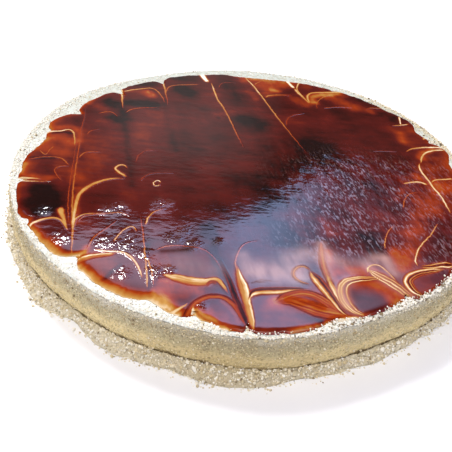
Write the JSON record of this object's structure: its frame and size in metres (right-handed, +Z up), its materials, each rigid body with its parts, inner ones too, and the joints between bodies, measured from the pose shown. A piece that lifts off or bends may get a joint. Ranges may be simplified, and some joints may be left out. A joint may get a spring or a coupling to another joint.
{
  "type": "biscuit cake",
  "caption": "Flat round uncut biscuit cake with a crumb-coated wall, a rim of white cream, a glossy caramel glaze feathered with cream lines, and crumbs heaped at its foot.",
  "frame": {"origin": "middle of the base, on the surface that the cake stands on", "axes": "+Z up, -Y towards the front of the cake, where the knife lines of the feathering end"},
  "size_m": [0.2895, 0.292, 0.029],
  "materials": {
    "crumbed_cake": "rough, coated with fine biscuit crumbs",
    "white_cream": "soft satin",
    "caramel_glaze": "mirror gloss, see-through where thin, feathered with cream",
    "biscuit_crumb": "loose dry crumbs"
  },
  "bodies": {
    "root": {"cake_body": "crumbed_cake", "cream_coat": "white_cream", "caramel_glaze": "caramel_glaze", "crumb_ring": "biscuit_crumb"}
  },
  "joints": []
}
